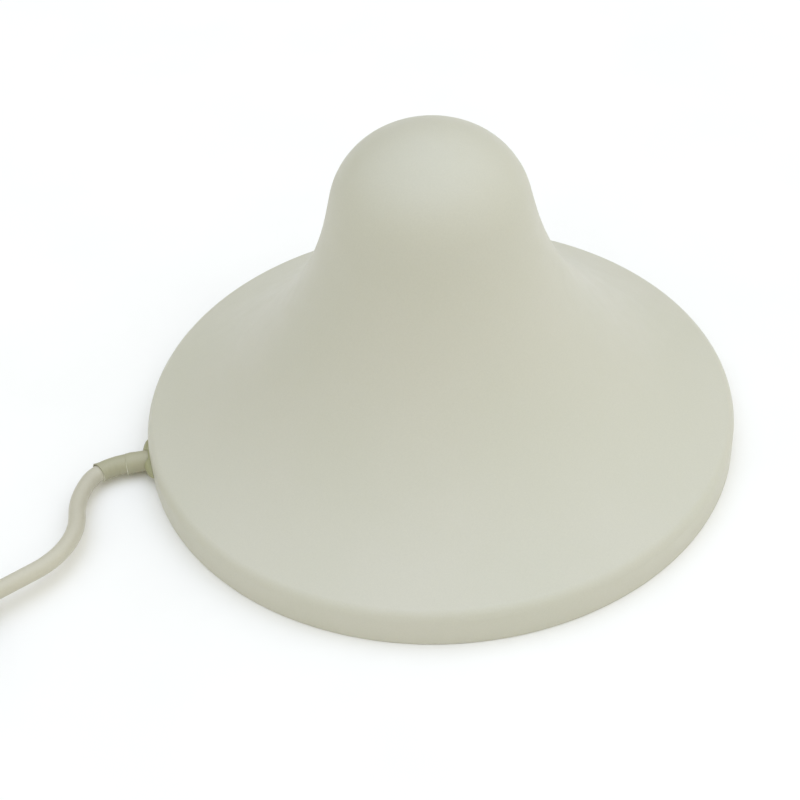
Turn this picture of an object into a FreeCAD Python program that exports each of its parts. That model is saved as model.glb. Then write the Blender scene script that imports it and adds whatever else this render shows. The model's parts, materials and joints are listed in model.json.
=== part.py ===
import FreeCAD, Part
import math
import os
import re
import Sketcher

# A ceiling-mounted indoor dome antenna with a coaxial lead.
# Millimetres. +Z points out of the ceiling, along the dome's nose. The origin is the centre of the
# face that rests on the ceiling, and the lead leaves the rim towards -X.

V = FreeCAD.Vector
doc = FreeCAD.newDocument("ceiling_dome_antenna")

DIMENSIONS = (
    # the dome's outline, from the nose down to the rim
    ("dome_height", 110), ("crown_radius", 33.5), ("crown_reach", 19.2), ("shoulder_radius", 25.3),
    ("neck_draft", 13.3), ("neck_length", 6.8), ("flare_radius", 101.2), ("rim_round", 4),
    ("rim_radius", 93), ("dome_wall", 2.2),
    # the bosses inside the dome and the screws that hold it to the base plate
    ("boss_ring", 82), ("boss_radius", 3.5), ("pilot_radius", 1.35), ("boss_pilot_depth", 9.5),
    ("dome_screw_count", 4), ("screw_radius", 1.3), ("screw_hole_radius", 1.6),
    ("sunk_head_radius", 2.8), ("sunk_head_gap", 0.1), ("dome_screw_length", 10.5),
    ("pan_head_radius", 2.7), ("pan_head_height", 1.8), ("cross_length", 3.2), ("cross_width", 0.9),
    ("cross_depth", 1.0), ("screw_gap", 0.05),
    # base plate: a flat ring around a raised dish that holds the bracket
    ("plate_radius", 90.4), ("plate_bottom", 0.3), ("plate_thickness", 2), ("plate_edge", 0.5),
    ("dish_radius", 48), ("dish_taper", 2), ("dish_bottom", 4.4), ("standoff_ring", 62),
    ("standoff_radius", 3.5), ("standoff_top", 12.2), ("standoff_pilot_depth", 7),
    ("ground_screw_length", 7.5),
    # twist-lock studs under the dish
    ("stud_ring", 32), ("stud_count", 3), ("stud_neck_radius", 2), ("stud_head_radius", 4),
    ("stud_head_bottom", 0.3), ("stud_head_height", 1.6),
    # ceiling bracket
    ("bracket_radius", 44), ("bracket_foot", 4), ("bracket_bottom", 2.2), ("bracket_thickness", 2),
    ("bracket_opening", 14), ("ceiling_hole_ring", 26), ("ceiling_pad_radius", 5),
    ("ceiling_hole_radius", 2.25), ("ceiling_sink_radius", 4.2), ("slot_half_width", 2.3),
    ("entry_radius", 4.3), ("twist_angle", 20),
    # ground plane and the radiator that stands on it
    ("ground_radius", 75), ("ground_thickness", 1), ("feed_hole_radius", 3), ("cone_bottom", 16),
    ("apex_radius", 4), ("sheet_thickness", 0.8), ("cone_rim_radius", 23), ("cone_rim_height", 72),
    ("cone_top", 84), ("support_radius", 12), ("support_height", 26), ("support_foot", 2.8),
    ("support_bore_radius", 5.2), ("support_gap", 0.06), ("ear_reach", 20), ("ear_half_width", 3.6),
    ("ear_ring", 16), ("ear_height", 2), ("ear_count", 3), ("ear_screw_length", 2.9),
    # feed through the ground plane
    ("pin_radius", 1), ("pin_bottom", 8), ("pin_top", 19), ("pin_collar_radius", 2),
    ("pin_collar_bottom", 14.3), ("bush_flange_radius", 4.5), ("bush_flange_height", 1),
    ("bush_bottom", 11), ("nut_half_width", 2.2), ("nut_height", 1.8), ("fit_gap", 0.03),
    # coaxial lead, from its core outwards
    ("core_radius", 0.45), ("dielectric_radius", 1.475), ("braid_radius", 1.9), ("jacket_radius", 2.6),
    ("layer_gap", 0.02), ("core_end", 1.03), ("dielectric_end", 5), ("braid_end", 12.5),
    ("jacket_end", 22),
    # the lead's route: level over the dish, down to the rim, out, and round four bends
    ("exit_height", 4.4), ("dish_route_height", 9.2), ("dish_route_edge", 58), ("rim_route_start", 78),
    ("first_bend_start", 100.2), ("sleeve_bend_radius", 17.8), ("sleeve_bend_angle", 28.2),
    ("kink_bend_radius", 10.5), ("kink_bend_angle", 32.1), ("slack_bend_radius", 31.2),
    ("slack_bend_angle", 29.7), ("back_bend_radius", 25), ("back_bend_angle", 62),
    ("last_straight", 24), ("lead_tilt", 4.2),
    # gland in the rim, its boot and the sleeve over the lead
    ("notch_radius", 4.4), ("gland_neck_radius", 4.3), ("gland_bore_radius", 3.45),
    ("gland_bottom", 0.3), ("neck_proud", 0.4), ("wing_height", 4.9), ("wing_reach", 2.4),
    ("wing_half_width", 9), ("wing_half_height", 2.4), ("gland_flange_face", 90.43),
    ("gland_flange_thickness", 1.6),
    ("gland_flange_half_width", 6), ("gland_flange_top", 8.4), ("gland_flange_bottom", 2.4),
    ("boot_radius", 3.4), ("boot_bore_radius", 2.65), ("boot_start", 90.5), ("boot_round", 0.4),
    ("sleeve_radius", 3.05), ("sleeve_tail_angle", 10),
    # clamps on the lead
    ("clamp_centre", 83), ("clamp_half_length", 3), ("clamp_half_width", 10), ("clamp_foot_height", 2.2),
    ("clamp_saddle_half_width", 4.4), ("clamp_saddle_height", 6.4), ("clamp_screw_reach", 7.2),
    ("clamp_screw_length", 3.9), ("clamp_round", 1.2),
    ("bond_centre", 17.5), ("bond_half_length", 4), ("bond_half_width", 6.5), ("bond_bottom", 6.9),
    ("bond_screw_reach", 4.3), ("bond_screw_length", 3.6),
    # cable jack at the lead's end, measured from the lead's cut along the lead
    ("ferrule_start", 1), ("ferrule_length", 13), ("ferrule_radius", 3.5), ("ferrule_bore_radius", 2.65),
    ("shell_start", 12), ("shell_post_radius", 2.6), ("shell_neck_radius", 5.4),
    ("shell_neck_end", 18), ("shell_body_radius", 8.2), ("shell_body_end", 27), ("flat_half_width", 7.4),
    ("flat_length", 6), ("relief_radius", 7.1), ("relief_end", 29), ("thread_radius", 7.94),
    ("shell_end", 39), ("thread_chamfer", 0.6), ("shell_bore_radius", 4.1), ("shell_bore_depth", 10),
    ("mouth_radius", 5.2), ("insulator_radius", 3.5), ("insulator_start", 19), ("contact_radius", 1.5),
    ("contact_start", 21), ("contact_end", 35), ("contact_bore_radius", 0.83), ("contact_bore_depth", 8),
    ("contact_slot_width", 0.35), ("contact_slot_depth", 6), ("jack_sleeve_radius", 4.3),
    ("jack_sleeve_start", -7), ("jack_sleeve_end", 11.5),
)

sheet = doc.addObject("Spreadsheet::Sheet", "dims")
for row, (alias, value) in enumerate(DIMENSIONS, 1):
    sheet.set("A%d" % row, alias)
    sheet.set("B%d" % row, str(value))
    sheet.setAlias("B%d" % row, alias)
doc.recompute()

parts = []


# ---- reading the sheet ----

def bound(expression):
    """The expression with each alias written the way FreeCAD finds it, such as dims.rim_radius."""
    return re.sub(r"\b[a-z]+(_[a-z]+)+\b", r"dims.\g<0>", expression)


def size(expression):
    """The number an expression of aliases comes to."""
    return float(sheet.evalExpression(bound(expression)))


# levels and places that several sub-parts share
PLATE_TOP = "(plate_bottom + plate_thickness)"
DISH_TOP = "(dish_bottom + plate_thickness)"
BRACKET_TOP = "(bracket_bottom + bracket_thickness)"
GROUND_TOP = "(standoff_top + ground_thickness)"
STUD_HEAD_TOP = "(stud_head_bottom + stud_head_height)"
APEX_TOP = "(cone_bottom + sheet_thickness)"
DIAGONAL = "cos(45 deg)"

# the lead's bends outside the dome: name, and 1 for a left turn or -1 for a right one
LEAD_BENDS = (("sleeve_bend", 1), ("kink_bend", 1), ("slack_bend", 1), ("back_bend", -1))


# ---- sketches ----

def origin_part(body, role):
    return next(item for item in body.Origin.OriginFeatures if item.Role == role)


def new_body(name):
    body = doc.addObject("PartDesign::Body", name)
    body.Label = name
    parts.append(body)
    return body


def new_sketch(body, name, plane, offset=("0", "0", "0")):
    """A sketch on one of the body's origin planes, moved along the plane's own x, y and z."""
    sketch = body.newObject("Sketcher::SketchObject", name)
    sketch.AttachmentSupport = [(origin_part(body, plane), "")]
    sketch.MapMode = "FlatFace"
    for letter, value in zip("xyz", offset):
        if value != "0":
            sketch.setExpression("AttachmentOffset.Base." + letter, bound(value))
    return sketch


def hold(sketch, kind, *where, value):
    """Add a constraint whose value is bound to an expression; an angle's is in degrees."""
    number = math.radians(size(value)) if kind == "Angle" else size(value)
    index = sketch.addConstraint(Sketcher.Constraint(kind, *where, number))
    sketch.setExpression("Constraints[%d]" % index, bound(value))


def place_point(sketch, line, point, x, y):
    for kind, axis, value in (("DistanceX", -2, x), ("DistanceY", -1, y)):
        if size(value) == 0:
            sketch.addConstraint(Sketcher.Constraint("PointOnObject", line, point, axis))
        else:
            hold(sketch, kind, -1, 1, line, point, value=value)


def draw_polygon(sketch, corners):
    first = sketch.GeometryCount
    count = len(corners)
    places = [V(size(x), size(y), 0) for x, y in corners]
    for i in range(count):
        sketch.addGeometry(Part.LineSegment(places[i], places[(i + 1) % count]), False)
    for i, (x, y) in enumerate(corners):
        following = first + (i + 1) % count
        sketch.addConstraint(Sketcher.Constraint("Coincident", first + i, 2, following, 1))
        place_point(sketch, first + i, 1, x, y)


def draw_box(sketch, low_x, low_y, high_x, high_y):
    draw_polygon(sketch, ((low_x, low_y), (high_x, low_y), (high_x, high_y), (low_x, high_y)))


def draw_circle(sketch, x, y, radius):
    index = sketch.addGeometry(Part.Circle(V(size(x), size(y), 0), V(0, 0, 1), size(radius)), False)
    place_point(sketch, index, 3, x, y)
    hold(sketch, "Radius", index, value=radius)


def arc(centre_x, centre_y, radius, start, end):
    """An arc that runs anticlockwise between two angles in degrees."""
    circle = Part.Circle(V(centre_x, centre_y, 0), V(0, 0, 1), radius)
    return Part.ArcOfCircle(circle, math.radians(start), math.radians(end))


# ---- features ----

def turn(body, name, corners, at=("0", "0"), cut=False):
    """Turn an outline of (radius, height) corners about an upright axis at (x, y)."""
    sketch = new_sketch(body, name + "_outline", "XZ_Plane", (at[0], "0", "-(%s)" % at[1]))
    draw_polygon(sketch, corners)
    feature = body.newObject("PartDesign::Groove" if cut else "PartDesign::Revolution", name)
    feature.Profile = sketch
    feature.ReferenceAxis = (sketch, ["V_Axis"])
    feature.Angle = 360
    return feature


def pad(body, name, sketch, height):
    feature = body.newObject("PartDesign::Pad", name)
    feature.Profile = sketch
    feature.setExpression("Length", bound(height))
    return feature


def pocket(body, name, sketch, depth, upward=False):
    feature = body.newObject("PartDesign::Pocket", name)
    feature.Profile = sketch
    feature.Reversed = upward
    feature.setExpression("Length", bound(depth))
    return feature


def polar(body, name, originals, count):
    feature = body.newObject("PartDesign::PolarPattern", name)
    feature.Originals = originals
    feature.Axis = (origin_part(body, "Z_Axis"), [""])
    feature.Angle = 360
    feature.setExpression("Occurrences", bound(count))
    body.Tip = feature


def mirror(body, name, originals):
    """Repeat features on the other side of the XZ plane."""
    feature = body.newObject("PartDesign::Mirrored", name)
    feature.Originals = originals
    feature.MirrorPlane = (origin_part(body, "XZ_Plane"), [""])
    body.Tip = feature


def cross_recess(body, name, at, height, upward):
    """The cross that a driver fits, cut into a screw's head."""
    sketch = new_sketch(body, name + "_outline", "XY_Plane", (at[0], at[1], height))
    long = "cross_length / 2"
    short = "cross_width / 2"
    signs = ((1, 1), (-1, 1), (-1, -1), (1, -1))
    corners = []
    for i, (a, b) in enumerate(signs):
        trio = [
            ("%d * %s" % (a, along), "%d * %s" % (b, across))
            for along, across in ((long, short), (short, short), (short, long))
        ]
        corners.extend(trio if i % 2 == 0 else reversed(trio))
    draw_polygon(sketch, corners)
    return pocket(body, name, sketch, "cross_depth", upward)


def pan_screw(body, at, seat, length):
    """A pan-head screw standing on a seat, its shank pointing down."""
    top = "(%s + pan_head_height)" % seat
    corners = (
        ("0", "%s - (%s)" % (seat, length)),
        ("screw_radius", "%s - (%s)" % (seat, length)),
        ("screw_radius", seat),
        ("pan_head_radius", seat),
        ("pan_head_radius", "%s - pan_head_height / 2" % top),
        ("pan_head_radius * 0.7", top),
        ("0", top),
    )
    shank = turn(body, "screw", corners, at)
    return [shank, cross_recess(body, "cross", at, top, upward=False)]


# ---- dome ----

def draw_bell(sketch, inset):
    """The bell outline, nose to rim, set in from the dome's outside by an expression.

    Crown arc, shoulder arc, straight neck, flare arc, rim round and rim wall, each tangent to the
    next, closed along the bottom and up the axis.
    """
    crown = "(crown_radius - %s)" % inset
    shoulder = "(shoulder_radius - %s)" % inset
    flare = "(flare_radius + %s)" % inset
    rim = "(rim_round - %s)" % inset
    top = "dome_height - %s" % inset
    side = "rim_radius - %s" % inset
    reach = "crown_reach * %s / crown_radius" % crown

    # a first drawing close to the answer, for the solver to finish
    draft = math.radians(size("neck_draft"))
    lean = math.asin(size("crown_reach / crown_radius"))
    offset = size("crown_radius - shoulder_radius")
    crown_z = size("dome_height - crown_radius")
    shoulder_x = offset * math.sin(lean)
    shoulder_z = crown_z + offset * math.cos(lean)
    outward = V(math.cos(draft), math.sin(draft), 0)
    neck_top = V(shoulder_x, shoulder_z, 0) + outward * size(shoulder)
    neck_foot = neck_top + V(math.sin(draft), -math.cos(draft), 0) * size("neck_length")
    flare_x = neck_foot.x + size(flare) * outward.x
    flare_z = neck_foot.y + size(flare) * outward.y
    rim_x = size("rim_radius - rim_round")
    slope = math.asin((flare_x - rim_x) / (size(flare) + size(rim)))
    rim_z = flare_z - (size(flare) + size(rim)) * math.cos(slope)
    slope = math.degrees(slope)
    draft = math.degrees(draft)
    lean = 90 - math.degrees(lean)
    for shape in (
        arc(0, crown_z, size(crown), lean, 90),
        arc(shoulder_x, shoulder_z, size(shoulder), draft, lean),
        Part.LineSegment(neck_top, neck_foot),
        arc(flare_x, flare_z, size(flare), 180 + draft, 270 - slope),
        arc(rim_x, rim_z, size(rim), 0, 90 - slope),
        Part.LineSegment(V(size(side), rim_z, 0), V(size(side), 0, 0)),
        Part.LineSegment(V(size(side), 0, 0), V(0, 0, 0)),
        Part.LineSegment(V(0, 0, 0), V(0, size(top), 0)),
    ):
        sketch.addGeometry(shape, False)

    crown_arc, shoulder_arc, neck, flare_arc, rim_arc, wall, bottom, axis = range(8)
    start, end, centre = 1, 2, 3
    join = [
        (crown_arc, start, shoulder_arc, end),
        (shoulder_arc, start, neck, start),
        (neck, end, flare_arc, start),
        (flare_arc, end, rim_arc, end),
        (rim_arc, start, wall, start),
    ]
    for pair in join:
        sketch.addConstraint(Sketcher.Constraint("Tangent", *pair))
    for pair in ((wall, end, bottom, start), (bottom, end, axis, start), (axis, end, crown_arc, end)):
        sketch.addConstraint(Sketcher.Constraint("Coincident", *pair))
    sketch.addConstraint(Sketcher.Constraint("Coincident", bottom, end, -1, 1))
    sketch.addConstraint(Sketcher.Constraint("PointOnObject", crown_arc, centre, -2))
    sketch.addConstraint(Sketcher.Constraint("PointOnObject", axis, end, -2))
    sketch.addConstraint(Sketcher.Constraint("Horizontal", bottom))
    sketch.addConstraint(Sketcher.Constraint("Vertical", wall))
    hold(sketch, "DistanceY", -1, 1, axis, end, value=top)
    hold(sketch, "DistanceX", -1, 1, crown_arc, start, value=reach)
    hold(sketch, "DistanceX", -1, 1, wall, end, value=side)
    hold(sketch, "DistanceY", neck, end, neck, start, value="neck_length * cos(neck_draft * 1 deg)")
    hold(sketch, "DistanceX", neck, start, neck, end, value="neck_length * sin(neck_draft * 1 deg)")
    radii = ((crown_arc, crown), (shoulder_arc, shoulder), (flare_arc, flare), (rim_arc, rim))
    for index, radius in radii:
        hold(sketch, "Radius", index, value=radius)


def radome():
    body = new_body("radome")
    for kind, name, inset in (
        ("PartDesign::Revolution", "outside", "0"),
        ("PartDesign::Groove", "inside", "dome_wall"),
    ):
        sketch = new_sketch(body, name + "_outline", "XZ_Plane")
        draw_bell(sketch, inset)
        feature = body.newObject(kind, name)
        feature.Profile = sketch
        feature.ReferenceAxis = (sketch, ["V_Axis"])
        feature.Angle = 360
    doc.recompute()
    at = "boss_ring * " + DIAGONAL
    sketch = new_sketch(body, "boss_outline", "XY_Plane", ("0", "0", PLATE_TOP + " + screw_gap"))
    draw_circle(sketch, at, at, "boss_radius")
    boss = body.newObject("PartDesign::Pad", "boss")
    boss.Profile = sketch
    boss.Type = "UpToFirst"
    sketch = new_sketch(body, "pilot_outline", "XY_Plane", ("0", "0", PLATE_TOP))
    draw_circle(sketch, at, at, "pilot_radius")
    pilot = pocket(body, "pilot", sketch, "boss_pilot_depth", upward=True)
    polar(body, "bosses", [boss, pilot], "dome_screw_count")
    sketch = new_sketch(body, "notch_outline", "YZ_Plane", ("0", "0", "-rim_radius - 1"))
    draw_notch(sketch, "notch_radius", "-1")
    notch = pocket(body, "notch", sketch, "dome_wall * 2 + 1", upward=True)
    body.Tip = notch


def draw_notch(sketch, radius, foot):
    """A slot with a round top about the lead's exit, open at its foot."""
    r = size(radius)
    height = size("exit_height")
    low = size(foot)
    for shape in (
        arc(0, height, r, 0, 180),
        Part.LineSegment(V(-r, height, 0), V(-r, low, 0)),
        Part.LineSegment(V(-r, low, 0), V(r, low, 0)),
        Part.LineSegment(V(r, low, 0), V(r, height, 0)),
    ):
        sketch.addGeometry(shape, False)
    for pair in ((0, 2, 1, 1), (3, 2, 0, 1)):
        sketch.addConstraint(Sketcher.Constraint("Tangent", *pair))
    for pair in ((1, 2, 2, 1), (2, 2, 3, 1)):
        sketch.addConstraint(Sketcher.Constraint("Coincident", *pair))
    sketch.addConstraint(Sketcher.Constraint("Horizontal", 2))
    sketch.addConstraint(Sketcher.Constraint("Vertical", 3))
    place_point(sketch, 0, 3, "0", "exit_height")
    hold(sketch, "Radius", 0, value=radius)
    hold(sketch, "DistanceY", -1, 1, 2, 1, value=foot)


def radome_screws():
    """Countersunk screws, driven from below through the base plate."""
    body = new_body("radome_screws")
    at = ("boss_ring * " + DIAGONAL, "boss_ring * " + DIAGONAL)
    low = "(plate_bottom + sunk_head_gap)"
    corners = (
        ("0", low),
        ("sunk_head_radius", low),
        ("screw_radius", "%s + sunk_head_radius - screw_radius" % low),
        ("screw_radius", "%s + dome_screw_length - 1" % low),
        ("0", "%s + dome_screw_length" % low),
    )
    screw = turn(body, "screw", corners, at)
    cross = cross_recess(body, "cross", at, low, upward=True)
    polar(body, "screws", [screw, cross], "dome_screw_count")


# ---- base plate and bracket ----

def base_plate():
    body = new_body("base_plate")
    inner = "dish_radius + dish_taper"
    turn(body, "dish", (
        ("0", "dish_bottom"),
        ("dish_radius", "dish_bottom"),
        (inner, "plate_bottom"),
        ("plate_radius - plate_edge", "plate_bottom"),
        ("plate_radius", "plate_bottom + plate_edge"),
        ("plate_radius", PLATE_TOP),
        (inner + " + plate_thickness", PLATE_TOP),
        (inner, DISH_TOP),
        ("0", DISH_TOP),
    ))
    at = ("standoff_ring * " + DIAGONAL, "standoff_ring * " + DIAGONAL)
    standoff = turn(body, "standoff", (
        ("0", PLATE_TOP),
        ("standoff_radius", PLATE_TOP),
        ("standoff_radius", "standoff_top"),
        ("0", "standoff_top"),
    ), at)
    pilot = turn(body, "pilot", (
        ("0", "standoff_top"),
        ("pilot_radius", "standoff_top"),
        ("pilot_radius", "standoff_top - standoff_pilot_depth"),
        ("0", "standoff_top - standoff_pilot_depth"),
    ), at, cut=True)
    at = ("boss_ring * " + DIAGONAL, "boss_ring * " + DIAGONAL)
    sink = "(sunk_head_radius + 2 * sunk_head_gap)"
    hole = turn(body, "screw_hole", (
        ("0", "plate_bottom"),
        (sink, "plate_bottom"),
        ("screw_hole_radius", "plate_bottom + %s - screw_hole_radius" % sink),
        ("screw_hole_radius", PLATE_TOP),
        ("0", PLATE_TOP),
    ), at, cut=True)
    polar(body, "corners", [standoff, pilot, hole], "dome_screw_count")
    stud = turn(body, "stud", (
        ("0", "stud_head_bottom"),
        ("stud_head_radius - 0.4", "stud_head_bottom"),
        ("stud_head_radius", "stud_head_bottom + 0.4"),
        ("stud_head_radius", STUD_HEAD_TOP),
        ("stud_neck_radius", STUD_HEAD_TOP),
        ("stud_neck_radius", "dish_bottom"),
        ("0", "dish_bottom"),
    ), ("stud_ring", "0"))
    polar(body, "studs", [stud], "stud_count")
    sketch = new_sketch(body, "clamp_hole_outline", "XY_Plane", ("0", "0", PLATE_TOP))
    draw_circle(sketch, "-clamp_centre", "clamp_screw_reach", "pilot_radius")
    hole = pocket(body, "clamp_hole", sketch, "plate_thickness")
    mirror(body, "clamp_holes", [hole])
    sketch = new_sketch(body, "lead_groove_outline", "YZ_Plane", ("0", "0", "-plate_radius - 1"))
    draw_circle(sketch, "0", "exit_height", "jacket_radius + screw_gap")
    groove = pocket(body, "lead_groove", sketch, "plate_radius - dish_radius - dish_taper * 2", upward=True)
    body.Tip = groove


def draw_arc_slot(sketch):
    """The slot a stud's neck slides along, from its rest place back by the twist angle."""
    half = size("slot_half_width")
    ring = size("stud_ring")
    twist = size("twist_angle")
    entry = V(ring, 0, 0)
    entry = FreeCAD.Rotation(V(0, 0, 1), -twist).multVec(entry)
    for shape in (
        arc(0, 0, ring + half, -twist, 0),
        arc(ring, 0, half, 0, 180),
        arc(0, 0, ring - half, -twist, 0),
        arc(entry.x, entry.y, half, 180 - twist, 360 - twist),
    ):
        sketch.addGeometry(shape, False)
    outer, rest_end, inner, entry_end = range(4)
    start, end, centre = 1, 2, 3
    for pair in (
        (outer, end, rest_end, start),
        (rest_end, end, inner, end),
        (inner, start, entry_end, start),
        (entry_end, end, outer, start),
    ):
        sketch.addConstraint(Sketcher.Constraint("Tangent", *pair))
    for index in (outer, inner):
        sketch.addConstraint(Sketcher.Constraint("Coincident", index, centre, -1, 1))
    place_point(sketch, rest_end, centre, "stud_ring", "0")
    hold(sketch, "Radius", outer, value="stud_ring + slot_half_width")
    hold(sketch, "DistanceY", -1, 1, entry_end, centre, value="-stud_ring * sin(twist_angle * 1 deg)")


def ceiling_bracket():
    body = new_body("ceiling_bracket")
    turn(body, "plate", (
        ("bracket_opening", "bracket_bottom"),
        ("bracket_radius - bracket_foot", "bracket_bottom"),
        ("bracket_radius - bracket_foot", "0"),
        ("bracket_radius", "0"),
        ("bracket_radius", BRACKET_TOP + " - 0.5"),
        ("bracket_radius - 0.5", BRACKET_TOP),
        ("bracket_opening", BRACKET_TOP),
    ))
    ceiling_pad = turn(body, "ceiling_pad", (
        ("0", "0"),
        ("ceiling_pad_radius", "0"),
        ("ceiling_pad_radius", "bracket_bottom"),
        ("0", "bracket_bottom"),
    ), ("-ceiling_hole_ring", "0"))
    hole = turn(body, "ceiling_hole", (
        ("0", "0"),
        ("ceiling_hole_radius", "0"),
        ("ceiling_hole_radius", BRACKET_TOP + " - ceiling_sink_radius + ceiling_hole_radius"),
        ("ceiling_sink_radius", BRACKET_TOP),
        ("0", BRACKET_TOP),
    ), ("-ceiling_hole_ring", "0"), cut=True)
    sketch = new_sketch(body, "slot_outline", "XY_Plane")
    draw_arc_slot(sketch)
    slot = pocket(body, "slot", sketch, BRACKET_TOP, upward=True)
    sketch = new_sketch(body, "entry_outline", "XY_Plane")
    twist = "(-twist_angle * 1 deg)"
    draw_circle(sketch, "stud_ring * cos%s" % twist, "stud_ring * sin%s" % twist, "entry_radius")
    entry = pocket(body, "entry", sketch, BRACKET_TOP, upward=True)
    polar(body, "thirds", [ceiling_pad, hole, slot, entry], "stud_count")


# ---- ground plane, radiator and feed ----

def ground_plane():
    body = new_body("ground_plane")
    sketch = new_sketch(body, "disc_outline", "XY_Plane", ("0", "0", "standoff_top"))
    draw_circle(sketch, "0", "0", "ground_radius")
    draw_circle(sketch, "0", "0", "feed_hole_radius")
    pad(body, "disc", sketch, "ground_thickness")
    sketch = new_sketch(body, "corner_hole_outline", "XY_Plane", ("0", "0", GROUND_TOP))
    at = "standoff_ring * " + DIAGONAL
    draw_circle(sketch, at, at, "screw_hole_radius")
    corner = pocket(body, "corner_hole", sketch, "ground_thickness")
    polar(body, "corner_holes", [corner], "dome_screw_count")
    sketch = new_sketch(body, "ear_hole_outline", "XY_Plane", ("0", "0", GROUND_TOP))
    draw_circle(sketch, "ear_ring", "0", "pilot_radius")
    ear = pocket(body, "ear_hole", sketch, "ground_thickness")
    polar(body, "ear_holes", [ear], "ear_count")
    sketch = new_sketch(body, "bond_hole_outline", "XY_Plane", ("0", "0", GROUND_TOP))
    for side in ("", "-"):
        draw_circle(sketch, "-bond_centre", side + "bond_screw_reach", "screw_hole_radius")
    body.Tip = pocket(body, "bond_holes", sketch, "ground_thickness")


def ground_plane_screws():
    body = new_body("ground_plane_screws")
    at = ("standoff_ring * " + DIAGONAL, "standoff_ring * " + DIAGONAL)
    polar(body, "screws", pan_screw(body, at, GROUND_TOP, "ground_screw_length"), "dome_screw_count")


def radiator_cone():
    """A sheet-metal cone that stands on its point and ends in a short tube."""
    body = new_body("radiator_cone")
    inner_rim = "cone_rim_radius - sheet_thickness"
    turn(body, "sheet", (
        ("pin_radius + fit_gap", "cone_bottom"),
        ("apex_radius", "cone_bottom"),
        ("cone_rim_radius", "cone_rim_height"),
        ("cone_rim_radius", "cone_top"),
        (inner_rim, "cone_top"),
        (inner_rim, "cone_rim_height"),
        ("apex_radius - sheet_thickness / 2", APEX_TOP),
        ("pin_radius + fit_gap", APEX_TOP),
    ))


def radiator_support():
    """A cup that holds the cone's foot, with ears screwed to the ground plane."""
    body = new_body("radiator_support")
    rise = "(cone_rim_radius - apex_radius) / (cone_rim_height - cone_bottom)"
    seat = "(apex_radius + support_gap + (%s - cone_bottom) * " + rise + ")"
    seat_height = "(cone_bottom + (support_bore_radius - apex_radius) / (%s))" % rise
    turn(body, "cup", (
        ("support_bore_radius", GROUND_TOP),
        ("support_radius", GROUND_TOP),
        ("support_radius", GROUND_TOP + " + support_foot"),
        (seat % "support_height" + " + 1.6", "support_height"),
        (seat % "support_height", "support_height"),
        (seat % seat_height, seat_height),
        ("support_bore_radius", seat_height + " - 0.2"),
    ))
    sketch = new_sketch(body, "ear_outline", "XY_Plane", ("0", "0", GROUND_TOP))
    draw_box(sketch, "support_radius - 3", "-ear_half_width", "ear_reach", "ear_half_width")
    ear = pad(body, "ear", sketch, "ear_height")
    sketch = new_sketch(body, "ear_hole_outline", "XY_Plane", ("0", "0", GROUND_TOP))
    draw_circle(sketch, "ear_ring", "0", "screw_hole_radius")
    hole = pocket(body, "ear_hole", sketch, "ear_height", upward=True)
    polar(body, "ears", [ear, hole], "ear_count")


def support_screws():
    body = new_body("support_screws")
    seat = "(%s + ear_height)" % GROUND_TOP
    polar(body, "screws", pan_screw(body, ("ear_ring", "0"), seat, "ear_screw_length"), "ear_count")


def feed_insulator():
    body = new_body("feed_insulator")
    bore = "pin_radius + fit_gap"
    neck = "feed_hole_radius - fit_gap"
    turn(body, "bush", (
        (bore, "bush_bottom"),
        (neck, "bush_bottom"),
        (neck, GROUND_TOP),
        ("bush_flange_radius", GROUND_TOP),
        ("bush_flange_radius", GROUND_TOP + " + bush_flange_height"),
        (bore, GROUND_TOP + " + bush_flange_height"),
    ))


def feed_pin():
    body = new_body("feed_pin")
    turn(body, "pin", (
        ("0", "pin_bottom"),
        ("pin_radius", "pin_bottom"),
        ("pin_radius", "pin_collar_bottom"),
        ("pin_collar_radius", "pin_collar_bottom"),
        ("pin_collar_radius", "cone_bottom"),
        ("pin_radius", "cone_bottom"),
        ("pin_radius", "pin_top - 0.3"),
        ("pin_radius - 0.3", "pin_top"),
        ("0", "pin_top"),
    ))


def feed_nut():
    """A hexagon nut that clamps the cone onto the pin's collar."""
    body = new_body("feed_nut")
    sketch = new_sketch(body, "hexagon", "XY_Plane", ("0", "0", APEX_TOP))
    corner_radius = "nut_half_width / cos(30 deg)"
    corners = [
        ("%s * cos(%d deg)" % (corner_radius, angle), "%s * sin(%d deg)" % (corner_radius, angle))
        for angle in range(30, 390, 60)
    ]
    draw_polygon(sketch, corners)
    draw_circle(sketch, "0", "0", "pin_radius + fit_gap")
    pad(body, "nut", sketch, "nut_height")


# ---- lead ----

def walk_bends():
    """Each of the lead's bends as (arc, which end comes first), then the end's place and bearing.

    All in the tilted plane's own x and y. The lead runs towards -X before its first bend.
    """
    place = V(size("-first_bend_start"), 0, 0)
    bearing = 180
    bends = []
    for name, side in LEAD_BENDS:
        radius = size(name + "_radius")
        angle = size(name + "_angle")
        towards_centre = FreeCAD.Rotation(V(0, 0, 1), bearing + 90 * side).multVec(V(radius, 0, 0))
        centre = place + towards_centre
        sides = sorted((bearing - 90 * side, bearing - 90 * side + angle * side))
        bends.append((arc(centre.x, centre.y, radius, *sides), 1 if side > 0 else 2))
        bearing += angle * side
        place = centre - FreeCAD.Rotation(V(0, 0, 1), bearing + 90 * side).multVec(V(radius, 0, 0))
    return bends, place, bearing


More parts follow.
